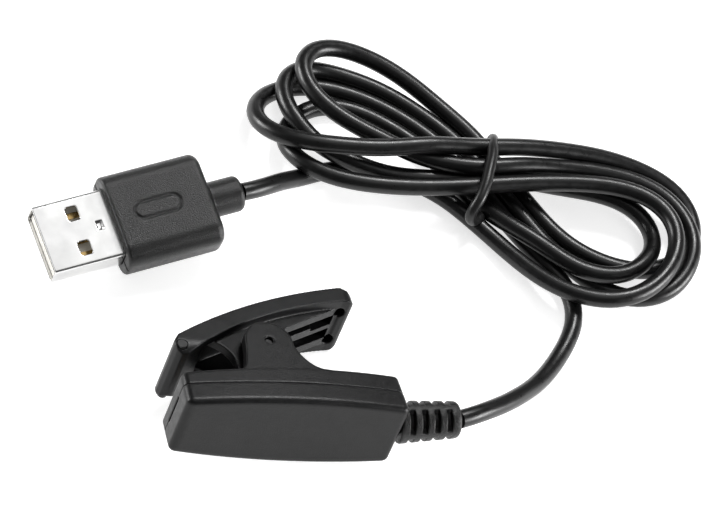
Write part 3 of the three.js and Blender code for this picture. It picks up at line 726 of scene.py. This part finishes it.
# ------------------------------------------------------------------ tie
TIE_DIAMETER = 1.9
TIE_LINE = [
    (42.3, 48.3, 3.4), (43.0, 48.6, 5.4), (42.2, 47.3, 7.7), (41.2, 44.8, 9.1), (40.5, 42.5, 9.6),
    (39.3, 39.5, 9.8), (38.3, 37.0, 9.7), (37.0, 34.4, 9.0), (35.9, 33.0, 7.6), (35.8, 32.5, 5.9),
    (37.0, 33.0, 4.2), (38.6, 34.4, 3.2),
]


def make_tie():
    points = [Vector(row) for row in through(TIE_LINE, 90)]
    tie = tube(points, TIE_DIAMETER / 2)
    combine(tie, "UNION", *[ball(points[end], TIE_DIAMETER / 2) for end in (0, -1)])
    place(tie, "cable_tie_band", LEAD, "tie", "black_grip", "cable_tie")


# ------------------------------------------------------------------ hinge spring
SPRING_WIRE = 0.55
SPRING_TURNS = 4.25
SPRING_STEPS = 12  # points in a turn
SPRING_RADIUS = 1.75
SPRING_PITCH = 0.85
SPRING_UPPER_LEG = [(8.6, 20.6, -1.75), (3.0, 16.6, -1.8)]
SPRING_LOWER_LEG = [(1.6, 4.4, 1.0), (3.4, 3.7, 0.6)]


def spring_line():
    """The hinge spring's wire: upper leg, coil around the pin, lower leg."""
    coil = []
    for k in range(int(SPRING_TURNS * SPRING_STEPS) + 1):
        angle = math.pi / 2 - k / SPRING_STEPS * 2 * math.pi
        depth = SPRING_PITCH * (k / SPRING_STEPS - SPRING_TURNS / 2)
        x = HINGE[0] + SPRING_RADIUS * math.cos(angle)
        y = HINGE[1] + SPRING_RADIUS * math.sin(angle)
        coil.append((x, y, depth))
    return [*SPRING_UPPER_LEG, *coil, *SPRING_LOWER_LEG]


def make_spring():
    points = [Vector(row) for row in through(spring_line(), 560)]
    spring = tube(points, SPRING_WIRE / 2, 12)
    place(spring, BLENDED, CLIP, "dark_steel", "dark_steel", "hinge_spring")
    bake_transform(spring)


# ------------------------------------------------------------------ cable
CABLE_DIAMETER = 3.0
CABLE_STEP = 1.2  # spacing of the settled points along the cable
SETTLING_ROUNDS = 160
HELD_AT_PLUG = 10  # points that keep their place while the rest settles
HELD_AT_CLIP = 14
NEAR = 5  # points this close along the cable don't push each other
PUSH = 0.35
LONGEST_MOVE = 0.3
SINK = 0.004
TABLE_CLEARANCE = 0.03
CLIP_TAIL = [
    (24.25, -9.71, 10.04), (26.2, -9.3, 10.1), (28.1, -8.2, 9.6), (32.6, -5.8, 7.9), (37.4, -2.5, 5.8),
    (43.9, 2.9, 3.3), (48.8, 8.9, 1.9), (51.2, 12.2, 1.6), (52.6, 15.2, 1.55), (53.0, 18.4, 1.55),
    (52.2, 22.4, 1.55), (49.6, 26.4, 1.55), (46.2, 30.6, 1.55), (43.4, 35.4, 1.55),
]
PLUG_TAIL = [
    (-4.6, 35.04, 8.03), (-2.6, 35.5, 8.0), (-0.6, 36.5, 7.4), (1.9, 38.1, 6.2), (4.6, 39.8, 4.9),
    (6.8, 41.4, 3.5), (8.9, 42.6, 2.4), (11.0, 43.6, 1.8), (14.4, 44.6, 1.55), (19.0, 45.0, 1.55),
    (24.4, 44.2, 1.55), (30.0, 41.7, 1.55), (35.3, 38.4, 1.55),
]
TIE_PLACE = (40.6, 40.6)
TIE_ANGLE = math.radians(67.8)  # line across the waist
# Where each turn crosses that line: on its way along the front of the left lobe, and along its back.
FRONT = {"d": -2.2, "b": 1.9, "a": 0.7, "c": 5.3}
BACK = {"d": -2.2, "b": 5.1, "a": 5.5, "c": 2.9, "plug": -4.9}
# Each lobe: direction in degrees, length, half width, bluntness, bow, and heights along it.
LEFT = {
    "d": (151.5, 34.9, -9.7, 1.10, 3.5, (1.6, 1.6, 3.6, 6.6, 7.6)),
    "b": (161.1, 37.7, -8.2, 1.22, -3.9, (1.6, 2.6, 4.9, 4.7, 4.6)),
    "a": (139.4, 36.5, -7.0, 1.26, 4.0, (1.6, 4.6, 7.8, 7.7, 7.8)),
    "c": (158.5, 41.3, -9.6, 1.00, 4.4, (1.6, 1.6, 4.0, 9.2, 8.8)),
}
RIGHT = {
    "d": (-30.4, 33.8, 11.1, 1.01, 5.0, (7.6, 7.2, 7.0, 5.8, 1.6)),
    "b": (-30.9, 30.7, 7.7, 0.86, 3.5, (4.6, 3.8, 3.6, 5.4, 1.6)),
    "a": (-27.3, 37.9, 12.9, 1.08, -1.0, (7.4, 5.2, 4.4, 2.2, 1.6)),
    "c": (-29.8, 37.6, 10.1, 1.11, 4.7, (8.8, 4.6, 1.6, 1.6, 1.6)),
}
LOBE_POINTS = 15


def lobe(start, end, direction, length, half_width, bluntness, bow, heights):
    """One loop of the figure eight, from one crossing of the tie's line to the next."""
    s = np.linspace(0.04, 0.96, LOBE_POINTS)
    across = start + (end - start) * (1 - np.cos(np.pi * s)) / 2
    angle = math.radians(direction)
    out = length * np.sin(np.pi * s) ** bluntness
    side = half_width * np.sin(2 * np.pi * s) + bow * np.sin(np.pi * s) ** 2
    x = TIE_PLACE[0] + across * math.cos(TIE_ANGLE) + out * math.cos(angle) - side * math.sin(angle)
    y = TIE_PLACE[1] + across * math.sin(TIE_ANGLE) + out * math.sin(angle) + side * math.cos(angle)
    every = np.linspace(0, 1, 101)
    z = np.interp(s, every, through(heights, 101)[:, 0])
    return np.column_stack([x, y, z])


def even(points, step):
    """The same line with points a step apart."""
    fine = through(points, len(points) * 12)
    along = np.concatenate([[0], np.cumsum(np.linalg.norm(np.diff(fine, axis=0), axis=1))])
    count = int(along[-1] / step) + 1
    where = np.linspace(0, along[-1], count)
    return np.column_stack([np.interp(where, along, fine[:, k]) for k in range(3)])


def laid_route():
    """The whole cable from the plug to the clip, turn by turn, before it settles."""
    route = [np.array(PLUG_TAIL)]
    arrives = "plug"
    for name in ("d", "b", "a", "c"):
        right = lobe(FRONT[name], BACK[arrives], *RIGHT[name])
        left = lobe(BACK[name], FRONT[name], *LEFT[name])
        route += [right[::-1], left[::-1]]
        arrives = name
    route.append(np.array(CLIP_TAIL)[::-1])
    return even(np.vstack(route), CABLE_STEP)


def settle(points):
    """Moves strands that pass through each other a diameter apart, smooth and on the table."""
    p = points.copy()
    count = len(p)
    gap = np.abs(np.arange(count)[:, None] - np.arange(count)[None, :]) > NEAR
    free = np.ones(count)
    free[:HELD_AT_PLUG] = 0
    free[-HELD_AT_CLIP:] = 0
    for _ in range(SETTLING_ROUNDS):
        delta = p[:, None] - p[None, :]
        distance = np.linalg.norm(delta, axis=2) + 1e-9
        push = np.where(gap & (distance < CABLE_DIAMETER), (CABLE_DIAMETER - distance) / distance, 0)
        move = (delta * push[:, :, None] * np.array([0.5, 0.5, 1.0])).sum(axis=1) * PUSH
        move = np.clip(move, -LONGEST_MOVE, LONGEST_MOVE)
        p += move * free[:, None]
        p[:, 2] = np.maximum(p[:, 2] - SINK * free, CABLE_DIAMETER / 2 + TABLE_CLEARANCE)
        smooth = p.copy()
        smooth[1:-1] = 0.25 * p[:-2] + 0.5 * p[1:-1] + 0.25 * p[2:]
        lap = smooth - p
        back = lap.copy()
        back[1:-1] = 0.25 * lap[:-2] + 0.5 * lap[1:-1] + 0.25 * lap[2:]
        p += (lap - 0.95 * back) * free[:, None]  # smooths without shrinking the loops
    smoother = relaxed(p)
    return smoother + relaxed(p - smoother)


def relaxed(points, reach=8, spread=2.4):
    """The line with its last small kinks averaged out; its two ends keep their place."""
    steps = np.arange(-reach, reach + 1)
    weights = np.exp(-0.5 * (steps / spread) ** 2)
    weights /= weights.sum()
    before = 2 * points[0] - points[reach:0:-1]
    after = 2 * points[-1] - points[-2:-reach - 2:-1]
    longer = np.vstack([before, points, after])
    return np.column_stack([np.convolve(longer[:, k], weights, "valid") for k in range(3)])


def make_cable():
    points = settle(laid_route())
    points = points + np.array(LEAD.translation) / MM
    data = bpy.data.curves.new("cable", "CURVE")
    data.dimensions = "3D"
    spline = data.splines.new("POLY")
    spline.points.add(len(points) - 1)
    spline.points.foreach_set("co", np.column_stack([points * MM, np.ones(len(points))]).ravel())
    spline.use_smooth = True
    data.bevel_depth = CABLE_DIAMETER / 2 * MM
    data.bevel_resolution = 5
    data.use_fill_caps = True
    cable = bpy.data.objects.new("cable", data)
    bpy.context.scene.collection.objects.link(cable)
    data.materials.append(materials["black_cable"])
    length = float(np.linalg.norm(np.diff(points, axis=0), axis=1).sum())
    return cable, length


cable, cable_length = make_cable()
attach(cable, "clip_base")
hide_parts("cable_clip_tail", "cable_hank", "cable_plug_tail")


# ------------------------------------------------------------------ stage
def make_stage():
    mesh = bpy.data.meshes.new("floor")
    mesh.from_pydata([(-3, -3, 0), (3, -3, 0), (3, 3, 0), (-3, 3, 0)], [], [(0, 1, 2, 3)])
    floor = bpy.data.objects.new("floor", mesh)
    bpy.context.scene.collection.objects.link(floor)
    paper = Nodes("paper")
    colour = paper.colours(paper.noise(4.0, 3.0), (0.78, 0.78, 0.78), (0.80, 0.80, 0.80))
    paper.join(colour, paper.shader, "Emission Color")
    paper.shader.inputs["Emission Strength"].default_value = 0.9
    mesh.materials.append(paper.set(colour=colour, roughness=0.95, specular=0.0))
    world = bpy.data.worlds.new("studio")
    bpy.context.scene.world = world
    world.use_nodes = True
    world.node_tree.nodes["Background"].inputs["Color"].default_value = (1, 1, 1, 1)
    world.node_tree.nodes["Background"].inputs["Strength"].default_value = 0.13
    bpy.context.scene.view_settings.view_transform = "Standard"


def area_light(name, place, target, size, power):
    data = bpy.data.lights.new(name, "AREA")
    data.shape = "RECTANGLE"
    data.size, data.size_y = size
    data.energy = power
    light = bpy.data.objects.new(name, data)
    bpy.context.scene.collection.objects.link(light)
    light.location = place
    light.rotation_euler = (Vector(target) - Vector(place)).to_track_quat("-Z", "Y").to_euler()


make_stage()
area_light("key", (0.38, 0.60, 0.96), (0.02, 0.02, 0.0), (0.36, 0.26), 9.0)
area_light("overhead", (0.12, 0.10, 1.1), (0.0, 0.0, 0.0), (1.0, 0.8), 2.3)
area_light("left", (-0.8, 0.45, 0.18), (0.0, 0.0, 0.01), (0.5, 0.30), 8.0)
area_light("right", (0.8, -0.30, 0.22), (0.02, 0.02, 0.01), (0.5, 0.30), 9.0)

make_cover()
make_housing()
make_lever()
make_relief()
make_shell()
make_grip()
make_tie()
make_spring()

CORD_PIECES = [pieces["plug_grip"], pieces["usb_shell"], pieces["strain_relief"], pieces["cable_tie"]]
PLUG_NODES = ("usb_tongue", "usb_contact_1", "usb_contact_2", "usb_contact_3", "usb_contact_4")
CORD_PIECES += [frame["nodes"][name] for name in PLUG_NODES]
